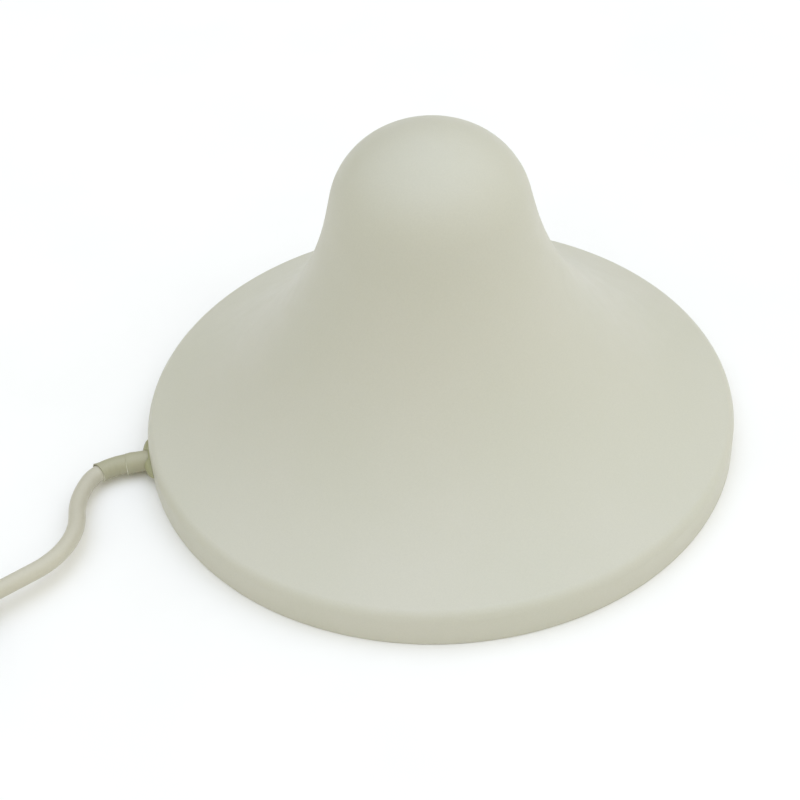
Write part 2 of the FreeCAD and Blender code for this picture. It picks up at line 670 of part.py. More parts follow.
def path_sketch_outside(body, name, start, beyond):
    """The lead's route outside the dome: straight, four bends that join, and straight again."""
    sketch = new_sketch(body, name, "XY_Plane", ("0", "0", "exit_height"))
    tilt(sketch)
    bends, turned, bearing = walk_bends()
    heading = FreeCAD.Rotation(V(0, 0, 1), bearing).multVec(V(1, 0, 0))
    length = "(last_straight + %s)" % beyond
    line_end = V(size("-first_bend_start"), 0, 0)
    sketch.addGeometry(Part.LineSegment(V(size("-" + start), 0, 0), line_end), False)
    for shape, _ in bends:
        sketch.addGeometry(shape, False)
    sketch.addGeometry(Part.LineSegment(turned, turned + heading * size(length)), False)
    firsts = [1] + [first for _, first in bends] + [1]
    for i in range(len(firsts) - 1):
        sketch.addConstraint(Sketcher.Constraint("Tangent", i, 3 - firsts[i], i + 1, firsts[i + 1]))
    place_point(sketch, 0, 1, "-" + start, "0")
    place_point(sketch, 0, 2, "-first_bend_start", "0")
    for i, (bend, _) in enumerate(LEAD_BENDS, 1):
        hold(sketch, "Radius", i, value=bend + "_radius")
        hold(sketch, "Angle", i, value=bend + "_angle * 1 deg")
    hold(sketch, "Distance", len(LEAD_BENDS) + 1, value=length)
    return sketch


def tilt(sketch):
    """Tip a sketch about X, so that the lead rises as it runs away along -Y."""
    offset = sketch.AttachmentOffset
    offset.Rotation = FreeCAD.Rotation(V(1, 0, 0), -size("lead_tilt"))
    sketch.AttachmentOffset = offset


def path_sketch_inside(body, name, end):
    """The lead's route inside: along the rim's groove, up an S bend and level over the dish."""
    sketch = new_sketch(body, name, "XZ_Plane")
    low = size("exit_height")
    high = size("dish_route_height")
    foot = size("-rim_route_start")
    head = size("-dish_route_edge")
    run = head - foot
    rise = high - low
    radius = (run ** 2 + rise ** 2) / (4 * rise)
    bend = math.degrees(math.asin(run / 2 / radius))
    for shape in (
        arc(foot, low + radius, radius, 270, 270 + bend),
        arc(head, high - radius, radius, 90, 90 + bend),
        Part.LineSegment(V(head, high, 0), V(size("-" + end), high, 0)),
    ):
        sketch.addGeometry(shape, False)
    sketch.addConstraint(Sketcher.Constraint("Tangent", 0, 2, 1, 2))
    sketch.addConstraint(Sketcher.Constraint("Tangent", 1, 1, 2, 1))
    sketch.addConstraint(Sketcher.Constraint("Horizontal", 2))
    sketch.addConstraint(Sketcher.Constraint("Equal", 0, 1))
    sketch.addConstraint(Sketcher.Constraint("Vertical", 0, 1, 0, 3))
    place_point(sketch, 0, 1, "-rim_route_start", "exit_height")
    place_point(sketch, 2, 1, "-dish_route_edge", "dish_route_height")
    hold(sketch, "DistanceX", -1, 1, 2, 2, value="-" + end)
    return sketch


def sweep(body, name, profile, path):
    feature = body.newObject("PartDesign::AdditivePipe", name)
    feature.Profile = profile
    feature.Spine = (path, ["Edge%d" % (i + 1) for i in range(path.GeometryCount)])
    return feature


def ring_profile(body, start, inner, outer):
    """A ring, or a disc where there is no inner radius, square to the lead's straight stretch."""
    sketch = new_sketch(body, "ring", "YZ_Plane", ("0", "0", "-" + start))
    draw_circle(sketch, "0", "exit_height", outer)
    if inner:
        draw_circle(sketch, "0", "exit_height", inner)
    return sketch


def lead_layer(name, inner, outer, end, beyond):
    """One layer of the coaxial lead, from inside the dome to inside the jack."""
    body = new_body(name)
    profile = ring_profile(body, "rim_route_start", inner, outer)
    outside = path_sketch_outside(body, "outside_route", "rim_route_start", beyond)
    inside = path_sketch_inside(body, "inside_route", end)
    doc.recompute()
    sweep(body, "outside", profile, outside)
    sweep(body, "inside", profile, inside)


def lead():
    lead_layer("cable_core", None, "core_radius", "core_end", "contact_start - layer_gap")
    lead_layer("cable_dielectric", "core_radius + layer_gap", "dielectric_radius", "dielectric_end",
               "insulator_start - layer_gap")
    lead_layer("cable_braid", "dielectric_radius + layer_gap", "braid_radius", "braid_end",
               "ferrule_start + 2")
    lead_layer("cable_jacket", "braid_radius + layer_gap", "jacket_radius", "jacket_end", "ferrule_start")


def heat_shrink_sleeve():
    """A sleeve round the lead's first bend, from the boot's end to just past the bend."""
    body = new_body("heat_shrink_sleeve")
    profile = ring_profile(body, "first_bend_start", "jacket_radius + layer_gap", "sleeve_radius")
    path = new_sketch(body, "route", "XY_Plane", ("0", "0", "exit_height"))
    tilt(path)
    (first_bend, _), (kink, _) = walk_bends()[0][:2]
    path.addGeometry(first_bend, False)
    path.addGeometry(kink, False)
    path.addConstraint(Sketcher.Constraint("Tangent", 0, 2, 1, 1))
    path.addConstraint(Sketcher.Constraint("Vertical", 0, 1, 0, 3))
    place_point(path, 0, 1, "-first_bend_start", "0")
    hold(path, "Radius", 0, value="sleeve_bend_radius")
    hold(path, "Angle", 0, value="sleeve_bend_angle * 1 deg")
    hold(path, "Radius", 1, value="kink_bend_radius")
    hold(path, "Angle", 1, value="sleeve_tail_angle * 1 deg")
    doc.recompute()
    sweep(body, "sleeve", profile, path)


# ---- gland and clamps ----

def boot():
    body = new_body("strain_relief_boot")
    length = "first_bend_start - layer_gap - boot_start"
    turn(body, "tube", (
        ("boot_bore_radius", "0"),
        ("boot_radius", "0"),
        ("boot_radius", length + " - boot_round"),
        ("boot_radius - boot_round", length),
        ("boot_bore_radius", length),
    ))
    body.setExpression("Placement.Base.x", bound("-boot_start"))
    body.setExpression("Placement.Base.z", bound("exit_height"))
    body.Placement.Rotation = FreeCAD.Rotation(V(0, 1, 0), -90)


def primitive(kind, name, place=(), rotation=None, **sizes):
    """A Part primitive with its sizes and its place bound to the sheet."""
    item = doc.addObject(kind, name)
    for key, value in sizes.items():
        item.setExpression(key, bound(value))
    for letter, value in zip("xyz", place):
        item.setExpression("Placement.Base." + letter, bound(value))
    if rotation:
        item.Placement.Rotation = rotation
    return item


def combine(kind, name, first, second):
    item = doc.addObject(kind, name)
    item.Base = first
    item.Tool = second
    return item


def cable_gland():
    """A grommet with a low wing on each side of the boot, its neck in the notch and its flange inside."""
    along_x = FreeCAD.Rotation(V(0, 1, 0), 90)
    oval = primitive(
        "Part::Ellipsoid", "wing_oval", ("-rim_radius", "0", "wing_height"),
        Radius1="wing_half_height", Radius2="wing_reach", Radius3="wing_half_width")
    wall = primitive("Part::Cylinder", "rim_wall", Radius="rim_radius + layer_gap", Height="dome_height")
    wings = combine("Part::Cut", "wings", oval, wall)
    neck_end = "-rim_radius - neck_proud"
    neck_length = "rim_radius + neck_proud - gland_flange_face"
    neck_round = primitive(
        "Part::Cylinder", "neck_round", (neck_end, "0", "exit_height"), along_x,
        Radius="gland_neck_radius", Height=neck_length)
    neck_foot = primitive(
        "Part::Box", "neck_foot", (neck_end, "-gland_neck_radius", "gland_bottom"),
        Length=neck_length, Width="2 * gland_neck_radius", Height="exit_height - gland_bottom")
    neck = combine("Part::Fuse", "neck", neck_round, neck_foot)
    flange = primitive(
        "Part::Box", "flange", ("-gland_flange_face", "-gland_flange_half_width", "gland_flange_bottom"),
        Length="gland_flange_thickness", Width="2 * gland_flange_half_width",
        Height="gland_flange_top - gland_flange_bottom")
    solid = combine("Part::Fuse", "gland_solid", combine("Part::Fuse", "gland_body", wings, neck), flange)
    bore = primitive(
        "Part::Cylinder", "bore", ("-rim_radius - 10", "0", "exit_height"), along_x,
        Radius="gland_bore_radius", Height="20")
    room = primitive(
        "Part::Box", "gland_room", ("-rim_radius - 10", "-wing_half_width", "gland_bottom"),
        Length="20", Width="2 * wing_half_width", Height="exit_height + gland_neck_radius")
    gland = combine("Part::Common", "cable_gland", combine("Part::Cut", "gland_bored", solid, bore), room)
    gland.Label = "cable_gland"
    parts.append(gland)


def cable_clamp():
    """A saddle screwed to the base plate, over the lead just inside the rim."""
    body = new_body("cable_clamp")
    sketch = new_sketch(body, "saddle_outline", "YZ_Plane", ("0", "0", "-clamp_centre - clamp_half_length"))
    foot = PLATE_TOP + " + clamp_foot_height"
    top = PLATE_TOP + " + clamp_saddle_height"
    draw_polygon(sketch, (
        ("-clamp_half_width", PLATE_TOP),
        ("clamp_half_width", PLATE_TOP),
        ("clamp_half_width", foot),
        ("clamp_saddle_half_width", foot),
        ("clamp_saddle_half_width", top + " - clamp_round"),
        ("clamp_saddle_half_width - clamp_round", top),
        ("-clamp_saddle_half_width + clamp_round", top),
        ("-clamp_saddle_half_width", top + " - clamp_round"),
        ("-clamp_saddle_half_width", foot),
        ("-clamp_half_width", foot),
    ))
    length = "2 * clamp_half_length"
    pad(body, "saddle", sketch, length)
    sketch = new_sketch(body, "lead_outline", "YZ_Plane", ("0", "0", "-clamp_centre - clamp_half_length"))
    draw_circle(sketch, "0", "exit_height", "jacket_radius + screw_gap")
    pocket(body, "lead_room", sketch, length, upward=True)
    sketch = new_sketch(body, "screw_outline", "XY_Plane", ("0", "0", PLATE_TOP))
    draw_circle(sketch, "-clamp_centre", "clamp_screw_reach", "screw_hole_radius")
    hole = pocket(body, "screw_hole", sketch, "clamp_foot_height", upward=True)
    mirror(body, "screw_holes", [hole])


def cable_clamp_screws():
    body = new_body("cable_clamp_screws")
    at = ("-clamp_centre", "clamp_screw_reach")
    seat = "(%s + clamp_foot_height)" % PLATE_TOP
    mirror(body, "screws", pan_screw(body, at, seat, "clamp_screw_length"))


def ground_clamp():
    """A block that bonds the braid to the underside of the ground plane."""
    body = new_body("ground_clamp")
    sketch = new_sketch(body, "block_outline", "YZ_Plane", ("0", "0", "-bond_centre - bond_half_length"))
    draw_box(sketch, "-bond_half_width", "bond_bottom", "bond_half_width", "standoff_top - layer_gap")
    draw_circle(sketch, "0", "dish_route_height", "braid_radius + layer_gap")
    pad(body, "block", sketch, "2 * bond_half_length")
    sketch = new_sketch(body, "screw_outline", "XY_Plane", ("0", "0", "standoff_top"))
    draw_circle(sketch, "-bond_centre", "bond_screw_reach", "pilot_radius")
    hole = pocket(body, "screw_hole", sketch, "bond_screw_length")
    mirror(body, "screw_holes", [hole])


def ground_clamp_screws():
    body = new_body("ground_clamp_screws")
    at = ("-bond_centre", "bond_screw_reach")
    mirror(body, "screws", pan_screw(body, at, GROUND_TOP, "bond_screw_length"))


# ---- jack on the lead's end ----

def on_lead(body):
    """Stand a body that is modelled along +Z on the lead's end, facing along the lead."""
    _, turned, bearing = walk_bends()
    heading = FreeCAD.Rotation(V(0, 0, 1), bearing).multVec(V(1, 0, 0))
    lean = FreeCAD.Rotation(V(1, 0, 0), -size("lead_tilt"))
    cut_end = turned + heading * size("last_straight")
    body.Placement.Base = lean.multVec(cut_end) + V(0, 0, size("exit_height"))
    body.Placement.Rotation = FreeCAD.Rotation(V(0, 0, 1), lean.multVec(heading))


def crimp_ferrule():
    body = new_body("crimp_ferrule")
    turn(body, "tube", (
        ("ferrule_bore_radius + layer_gap", "ferrule_start"),
        ("ferrule_radius", "ferrule_start"),
        ("ferrule_radius", "ferrule_start + ferrule_length"),
        ("ferrule_bore_radius + layer_gap", "ferrule_start + ferrule_length"),
    ))
    on_lead(body)


def connector_shell():
    """A cable jack's metal shell: a crimp post, a neck, a body with flats and a threaded mouth."""
    body = new_body("connector_shell")
    bore_start = "shell_end - shell_bore_depth"
    turn(body, "shell", (
        ("dielectric_radius + layer_gap", "shell_start - 4"),
        ("shell_post_radius - 0.6", "shell_start - 4"),
        ("shell_post_radius", "shell_start - 3"),
        ("shell_post_radius", "ferrule_start + ferrule_length + layer_gap"),
        ("shell_neck_radius", "ferrule_start + ferrule_length + layer_gap"),
        ("shell_neck_radius", "shell_neck_end"),
        ("shell_body_radius", "shell_neck_end"),
        ("shell_body_radius", "shell_body_end"),
        ("relief_radius", "shell_body_end"),
        ("relief_radius", "relief_end"),
        ("thread_radius", "relief_end"),
        ("thread_radius", "shell_end - thread_chamfer"),
        ("thread_radius - thread_chamfer", "shell_end"),
        ("mouth_radius", "shell_end"),
        ("shell_bore_radius", "shell_end - mouth_radius + shell_bore_radius"),
        ("shell_bore_radius", bore_start),
        ("insulator_radius + layer_gap", bore_start),
        ("insulator_radius + layer_gap", "insulator_start"),
        ("dielectric_radius + layer_gap", "insulator_start"),
    ))
    sketch = new_sketch(body, "flat_outline", "XY_Plane", ("0", "0", "shell_neck_end"))
    draw_box(sketch, "flat_half_width", "-shell_body_radius", "shell_body_radius + 1", "shell_body_radius")
    flat = pocket(body, "flat", sketch, "flat_length", upward=True)
    polar(body, "flats", [flat], "2")
    on_lead(body)


def connector_insulator():
    body = new_body("connector_insulator")
    turn(body, "bush", (
        ("core_radius + layer_gap", "insulator_start + layer_gap"),
        ("insulator_radius", "insulator_start + layer_gap"),
        ("insulator_radius", "shell_end - shell_bore_depth"),
        ("contact_radius + layer_gap", "shell_end - shell_bore_depth"),
        ("contact_radius + layer_gap", "contact_start - layer_gap"),
        ("core_radius + layer_gap", "contact_start - layer_gap"),
    ))
    on_lead(body)


def connector_contact():
    """The centre contact: a slotted tube that takes the mating pin."""
    body = new_body("connector_contact")
    turn(body, "tube", (
        ("0", "contact_start"),
        ("contact_radius", "contact_start"),
        ("contact_radius", "contact_end - 0.2"),
        ("contact_radius - 0.2", "contact_end"),
        ("contact_bore_radius", "contact_end"),
        ("contact_bore_radius", "contact_end - contact_bore_depth"),
        ("0", "contact_end - contact_bore_depth"),
    ))
    half = "contact_slot_width / 2"
    for name, x, y in (("slot_x", "contact_radius + 1", half), ("slot_y", half, "contact_radius + 1")):
        sketch = new_sketch(body, name + "_outline", "XY_Plane", ("0", "0", "contact_end"))
        draw_box(sketch, "-(%s)" % x, "-(%s)" % y, x, y)
        body.Tip = pocket(body, name, sketch, "contact_slot_depth")
    on_lead(body)


def connector_sleeve():
    body = new_body("connector_sleeve")
    step = "ferrule_start - layer_gap"
    turn(body, "sleeve", (
        ("jacket_radius + layer_gap", "jack_sleeve_start"),
        ("jacket_radius + 0.6", "jack_sleeve_start"),
        ("jacket_radius + 0.7", step + " - 1"),
        ("jack_sleeve_radius", step),
        ("jack_sleeve_radius", "jack_sleeve_end"),
        ("ferrule_radius + layer_gap", "jack_sleeve_end"),
        ("ferrule_radius + layer_gap", step),
        ("jacket_radius + layer_gap", step),
    ))
    on_lead(body)


radome()
radome_screws()
base_plate()
ceiling_bracket()
ground_plane()
ground_plane_screws()
radiator_cone()
radiator_support()
support_screws()
feed_insulator()
feed_pin()
feed_nut()
lead()
heat_shrink_sleeve()
boot()
cable_gland()
cable_clamp()
cable_clamp_screws()
ground_clamp()
ground_clamp_screws()
crimp_ferrule()
connector_shell()
connector_insulator()
connector_contact()
connector_sleeve()
doc.recompute()

for item in doc.Objects:
    if "Invalid" in item.State or "Error" in item.State:
        raise RuntimeError("%s is %s" % (item.Name, item.State))
for sub_part in parts:
    if sub_part.Shape.isNull() or not sub_part.Shape.isValid():
        raise RuntimeError("%s has no valid shape" % sub_part.Label)

os.makedirs("parts", exist_ok=True)
for sub_part in parts:
    sub_part.Shape.exportStep("parts/%s.step" % sub_part.Label)
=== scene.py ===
import bmesh
import bpy
import json
import math
from mathutils import Matrix, Vector

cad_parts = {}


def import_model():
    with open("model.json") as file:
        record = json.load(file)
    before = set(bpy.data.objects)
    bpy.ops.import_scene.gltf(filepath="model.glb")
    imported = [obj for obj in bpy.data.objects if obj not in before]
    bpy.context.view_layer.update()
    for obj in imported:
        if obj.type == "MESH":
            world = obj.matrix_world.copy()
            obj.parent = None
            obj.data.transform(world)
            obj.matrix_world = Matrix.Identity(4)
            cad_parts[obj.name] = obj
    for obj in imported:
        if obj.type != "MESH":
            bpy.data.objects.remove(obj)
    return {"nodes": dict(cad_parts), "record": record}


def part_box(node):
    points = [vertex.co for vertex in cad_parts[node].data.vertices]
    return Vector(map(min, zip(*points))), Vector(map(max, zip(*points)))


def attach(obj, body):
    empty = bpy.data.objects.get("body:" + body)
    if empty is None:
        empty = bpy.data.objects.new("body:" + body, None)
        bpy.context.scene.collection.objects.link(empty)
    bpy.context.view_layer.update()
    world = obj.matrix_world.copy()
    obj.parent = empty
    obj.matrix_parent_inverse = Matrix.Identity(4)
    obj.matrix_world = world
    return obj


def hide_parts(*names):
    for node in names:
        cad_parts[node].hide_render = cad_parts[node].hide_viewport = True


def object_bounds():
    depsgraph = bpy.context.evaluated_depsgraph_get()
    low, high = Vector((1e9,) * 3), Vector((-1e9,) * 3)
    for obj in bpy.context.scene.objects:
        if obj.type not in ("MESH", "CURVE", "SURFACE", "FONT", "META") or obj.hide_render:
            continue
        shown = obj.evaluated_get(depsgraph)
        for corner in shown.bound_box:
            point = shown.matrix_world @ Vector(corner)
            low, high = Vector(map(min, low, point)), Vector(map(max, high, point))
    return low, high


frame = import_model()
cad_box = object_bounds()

MM = 0.001
TAU = 2 * math.pi

# ---- sizes of the object, in millimetres, as the CAD has them ----

dome_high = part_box("radome")[1]
RIM_RADIUS = dome_high.x / MM
DOME_HEIGHT = dome_high.z / MM
CROWN_RADIUS = 33.5
CROWN_REACH = 19.2
SHOULDER_RADIUS = 25.3
NECK_DRAFT = math.radians(13.3)
NECK_LENGTH = 6.8
FLARE_RADIUS = 101.2
RIM_ROUND = 4
DOME_WALL = 2.2
RIM_EDGE_ROUND = 0.5
BOSS_COUNT = 4
BOSS_RING = 82
BOSS_RADIUS = 3.5
BOSS_PILOT_RADIUS = 1.35
BOSS_FOOT = 2.35
NOTCH_RADIUS = 4.4
NOTCH_NEAR = RIM_RADIUS - 6
NOTCH_FAR = RIM_RADIUS + 4
NOTCH_FOOT = -2

# the lead's route: level over the dish, down an S bend to the rim, out, and round four bends
EXIT_HEIGHT = 4.4
DISH_HEIGHT = 9.2
DISH_EDGE = 58
RIM_START = 78
FIRST_BEND_START = 100.2
BENDS = ((17.8, 28.2), (10.5, 32.1), (31.2, 29.7), (25, -62))
LAST_STRAIGHT = 24
JACK_LENGTH = 39
LEAD_TILT = math.radians(4.2)
JACKET_RADIUS = 2.6
JACKET_BORE = 1.92
JACKET_INNER_END = 22
BOOT_START = 90.5
BOOT_END = 100.8


# ---- mesh building ----

WELD_DISTANCE = 0.001 * MM


def mesh_object(name, verts, faces):
    mesh = bpy.data.meshes.new(name)
    mesh.from_pydata([Vector(v) * MM for v in verts], [], faces)
    mesh.validate()
    obj = bpy.data.objects.new(name, mesh)
    bpy.context.scene.collection.objects.link(obj)
    return obj


def smooth(obj, angle=35):
    """Smooth shading, kept sharp at edges over an angle in degrees."""
    obj.data.shade_smooth()
    obj.data.set_sharp_from_angle(angle=math.radians(angle))
    return obj


def clean(obj):
    """Merge vertices that coincide, drop faces that come to nothing and point the normals outwards."""
    shape = bmesh.new()
    shape.from_mesh(obj.data)
    bmesh.ops.remove_doubles(shape, verts=shape.verts, dist=WELD_DISTANCE)
    bmesh.ops.dissolve_degenerate(shape, edges=shape.edges, dist=WELD_DISTANCE)
    bmesh.ops.recalc_face_normals(shape, faces=shape.faces)
    shape.to_mesh(obj.data)
    shape.free()
    return obj


ON_AXIS = 1e-6


def lathe(name, outline, segments):
    """Turn an outline of (radius, height) points about Z, from one vertex on the axis to another."""
    verts = []
    rings = []
    for radius, height in outline:
        if radius < ON_AXIS:
            rings.append([len(verts)])
            verts.append((0, 0, height))
        else:
            rings.append(list(range(len(verts), len(verts) + segments)))
            for i in range(segments):
                angle = TAU * i / segments
                verts.append((radius * math.cos(angle), radius * math.sin(angle), height))
    faces = []
    for low, high in zip(rings, rings[1:]):
        for i in range(segments):
            j = (i + 1) % segments
            face = [low[i % len(low)], low[j % len(low)], high[j % len(high)], high[i % len(high)]]
            faces.append(tuple(dict.fromkeys(face)))
    return clean(mesh_object(name, verts, faces))


def ring_mesh(name, verts, segments):
    """A closed skin over rings of vertices, the last ring joined to the first."""
    rows = len(verts) // segments
    faces = []
    for row in range(rows):
        following = (row + 1) % rows
        for i in range(segments):
            j = (i + 1) % segments
            faces.append((
                row * segments + i, row * segments + j,
                following * segments + j, following * segments + i,
            ))
    return clean(mesh_object(name, verts, faces))


def arc_points(centre, radius, start, end, count):
    """Points along an arc, from one angle in degrees to another."""
    points = []
    for i in range(count + 1):
        angle = math.radians(start + (end - start) * i / count)
        points.append((centre[0] + radius * math.cos(angle), centre[1] + radius * math.sin(angle)))
    return points


def without_repeats(points):
    kept = [points[0]]
    for point in points[1:]:
        if math.dist(point, kept[-1]) > 1e-4:
            kept.append(point)
    return kept


def boolean(obj, other, operation):
    """Cut or join another closed object into obj, then remove the other."""
    modifier = obj.modifiers.new(operation, "BOOLEAN")
    modifier.object = other
    modifier.operation = operation
    modifier.solver = "EXACT"
    graph = bpy.context.evaluated_depsgraph_get()
    result = bpy.data.meshes.new_from_object(obj.evaluated_get(graph))
    obj.modifiers.clear()
    obj.data = result
    bpy.data.objects.remove(other)


# ---- node materials ----

# places of the factor, colour and result sockets on Blender's Mix node
MIX_SHARE = 0
MIX_FIRST = 6
MIX_SECOND = 7
MIX_RESULT = 2


class Material:
    """A Principled material whose inputs are fed by nodes."""

    def __init__(self, name):
        self.data = bpy.data.materials.new(name)
        self.data.use_nodes = True
        self.tree = self.data.node_tree
        self.shader = self.tree.nodes["Principled BSDF"]
        self.place = self.node("ShaderNodeTexCoord").outputs["Object"]

    def node(self, kind, **settings):
        item = self.tree.nodes.new(kind)
        for key, value in settings.items():
            setattr(item, key, value)
        return item

    def feed(self, target, value):
        if isinstance(value, bpy.types.NodeSocket):
            self.tree.links.new(value, target)
        else:
            target.default_value = value

    def noise(self, size, detail=2.0, roughness=0.5, stretch=(1, 1, 1)):
        """Noise whose features are about size millimetres across, 0 to 1."""
        scaled = self.node("ShaderNodeMapping")
        scaled.inputs["Scale"].default_value = [1 / (size * MM) * s for s in stretch]
        self.feed(scaled.inputs["Vector"], self.place)
        item = self.node("ShaderNodeTexNoise")
        self.feed(item.inputs["Vector"], scaled.outputs["Vector"])
        item.inputs["Scale"].default_value = 1.0
        item.inputs["Detail"].default_value = detail
        item.inputs["Roughness"].default_value = roughness
        return item.outputs["Fac"]

    def span(self, value, low, high, low_to=0.0, high_to=1.0):
        item = self.node("ShaderNodeMapRange")
        self.feed(item.inputs["Value"], value)
        for key, number in (("From Min", low), ("From Max", high), ("To Min", low_to), ("To Max", high_to)):
            item.inputs[key].default_value = number
        return item.outputs["Result"]

    def mix(self, share, first, second, blend="MIX"):
        item = self.node("ShaderNodeMix", data_type="RGBA", blend_type=blend)
        self.feed(item.inputs[MIX_SHARE], share)
        self.feed(item.inputs[MIX_FIRST], first)
        self.feed(item.inputs[MIX_SECOND], second)
        return item.outputs[MIX_RESULT]

    def add(self, first, second):
        item = self.node("ShaderNodeMath", operation="ADD")
        self.feed(item.inputs[0], first)
        self.feed(item.inputs[1], second)
        return item.outputs[0]

    def bump(self, height, depth, normal=None):
        """Bump whose full height range is depth millimetres."""
        item = self.node("ShaderNodeBump")
        item.inputs["Strength"].default_value = 1.0
        item.inputs["Distance"].default_value = depth * MM
        self.feed(item.inputs["Height"], height)
        if normal:
            self.feed(item.inputs["Normal"], normal)
        return item.outputs["Normal"]

    def rounded_edges(self, radius):
        item = self.node("ShaderNodeBevel", samples=4)
        item.inputs["Radius"].default_value = radius * MM
        return item.outputs["Normal"]

    def set(self, **values):
        for key, value in values.items():
            self.feed(self.shader.inputs[key.replace("_", " ")], value)


def moulded_plastic(
        name, colour, tint, roughness=0.45, grain=0.35, grain_depth=0.012,
        edge=0.15, glow=0.0, highlight_colour=None):
    """Injection-moulded plastic: slow colour drift, fine speckle, spark-eroded grain.

    With a highlight colour, a mesh's "painted_highlight" attribute says where a painted highlight makes the
    plastic paler.
    """
    material = Material(name)
    drift = material.span(material.noise(45, detail=3), 0.35, 0.65)
    base = material.mix(drift, colour, tint)
    speck = material.span(material.noise(0.5, detail=4, roughness=0.7), 0.3, 0.7, 0.97, 1.02)
    base = material.mix(1.0, base, speck, blend="MULTIPLY")
    if highlight_colour:
        # painted highlight: the paler colour mixed in where the mesh's attribute says
        highlight_share = material.node("ShaderNodeAttribute", attribute_name="painted_highlight").outputs["Fac"]
        base = material.mix(highlight_share, base, highlight_colour)
    worn = material.span(material.noise(7, detail=5, roughness=0.6), 0.3, 0.75, -0.05, 0.07)
    normal = material.rounded_edges(edge) if edge else None
    normal = material.bump(material.noise(6, detail=2), 0.02, normal)
    normal = material.bump(material.noise(grain, detail=3, roughness=0.6), grain_depth, normal)
    material.set(Base_Color=base, Roughness=material.add(worn, roughness), Normal=normal)
    material.shader.inputs["Specular IOR Level"].default_value = 0.4
    if glow:
        material.shader.inputs["Subsurface Weight"].default_value = glow
        material.shader.inputs["Subsurface Radius"].default_value = (1.0, 0.9, 0.6)
        material.shader.inputs["Subsurface Scale"].default_value = 1.2 * MM
    return material.data


METAL_EDGE = 0.1


def plated_metal(name, colour, roughness, streak=(1, 1, 1), streak_size=0.4):
    """Metal with fine machining streaks and slightly uneven polish."""
    material = Material(name)
    patch = material.span(material.noise(4, detail=4), 0.3, 0.7, 0.88, 1.05)
    base = material.mix(1.0, colour, patch, blend="MULTIPLY")
    streaks = material.noise(streak_size, detail=4, roughness=0.7, stretch=streak)
    smudge = material.span(material.noise(3, detail=5, roughness=0.65), 0.3, 0.7, -0.06, 0.1)
    rough = material.add(material.span(streaks, 0.2, 0.8, -0.04, 0.06), smudge)
    normal = material.bump(streaks, 0.004, material.rounded_edges(METAL_EDGE))
    material.set(
        Base_Color=base, Metallic=1.0, Roughness=material.add(rough, roughness), Normal=normal)
    return material.data


DOME_COLOUR = (0.590, 0.578, 0.498, 1)
DOME_TINT = (0.577, 0.570, 0.484, 1)
SLOTS = {
    "dome_plastic": moulded_plastic("dome_plastic", DOME_COLOUR, DOME_TINT, 0.42, glow=0.08),
    "base_plastic": moulded_plastic(
        "base_plastic", (0.53, 0.52, 0.45, 1), (0.505, 0.50, 0.43, 1), 0.5, grain=0.5, grain_depth=0.02),
    "gland_plastic": moulded_plastic(
        "gland_plastic", (0.375, 0.375, 0.225, 1), (0.345, 0.345, 0.20, 1), 0.5, grain=0.3),
    "sleeve_plastic": moulded_plastic(
        "sleeve_plastic", (0.44, 0.42, 0.30, 1), (0.405, 0.39, 0.275, 1), 0.42, grain=0.6, edge=0.05,
        # painted highlight colour for the sleeve's lip and the boot's rolled end
        highlight_colour=(0.93, 0.93, 0.82, 1)),
    "jacket_plastic": moulded_plastic(
        "jacket_plastic", (0.565, 0.54, 0.445, 1), (0.53, 0.505, 0.415, 1), 0.4, grain=0.8, edge=0.0),
    "white_plastic": moulded_plastic(
        "white_plastic", (0.71, 0.71, 0.68, 1), (0.68, 0.68, 0.65, 1), 0.35, grain=0.8, glow=0.2),
    "black_plastic": moulded_plastic(
        "black_plastic", (0.022, 0.022, 0.024, 1), (0.03, 0.03, 0.03, 1), 0.42, grain=0.7, edge=0.1),
    "aluminium_sheet": plated_metal(
        "aluminium_sheet", (0.80, 0.81, 0.83, 1), 0.32, streak=(0.03, 1, 1), streak_size=0.3),
    "braid_metal": plated_metal("braid_metal", (0.70, 0.67, 0.62, 1), 0.35, streak_size=0.25),
    "brass": plated_metal("brass", (0.78, 0.60, 0.30, 1), 0.28),
    "copper": plated_metal("copper", (0.85, 0.45, 0.30, 1), 0.25),
    "nickel": plated_metal("nickel", (0.66, 0.64, 0.60, 1), 0.2, streak_size=0.6),
    "zinc_steel": plated_metal("zinc_steel", (0.62, 0.64, 0.66, 1), 0.3),
}


def finish_with(obj, slot_name):
    """Give a new piece a slot's material."""
    obj.data.materials.clear()
    obj.data.materials.append(SLOTS[slot_name])
    return obj


for part in frame["record"]["subparts"]:
    node = frame["nodes"][part["node"]]
    for index in range(len(node.material_slots)):
        node.material_slots[index].material = SLOTS[part["material_slot"]]


# ---- dome ----

